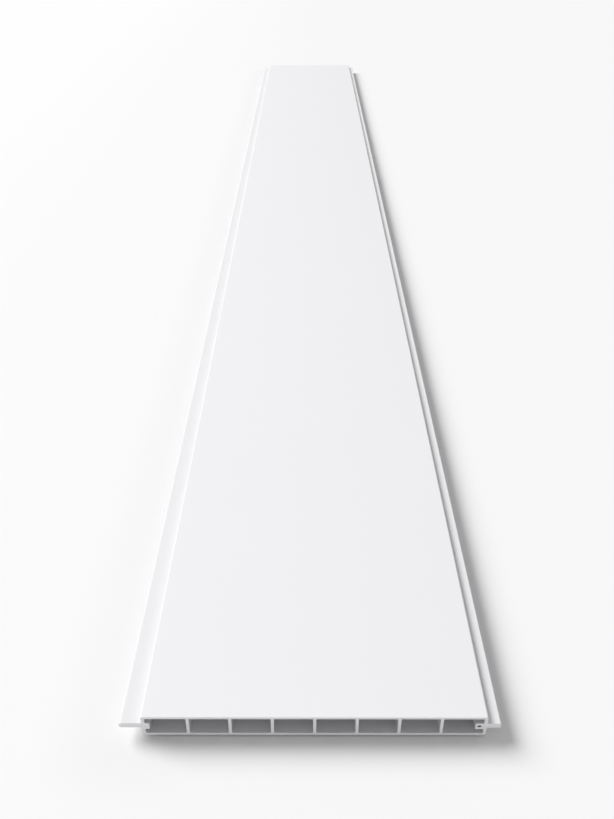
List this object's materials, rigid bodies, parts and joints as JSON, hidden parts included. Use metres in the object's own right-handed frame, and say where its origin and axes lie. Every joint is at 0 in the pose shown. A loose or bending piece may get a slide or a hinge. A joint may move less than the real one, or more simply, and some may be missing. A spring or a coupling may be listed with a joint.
{
  "type": "hollow ceiling panel",
  "caption": "White hollow plastic ceiling panel: an extruded length with a smooth face, open cells, a long tongue on the left side and a short lip on the right.",
  "frame": {"origin": "centre of the back, midway along the length and midway between the two side walls (tongue and lip not counted)", "axes": "+Y along the length away from the near end in the picture, +X across from the tongue side to the lip side, +Z from the back to the visible face"},
  "size_m": [0.2762, 2.4, 0.02],
  "materials": {
    "white_plastic": "satin white rigid plastic, smooth extruded face"
  },
  "bodies": {
    "root": {"ceiling_panel": "white_plastic"}
  },
  "joints": []
}
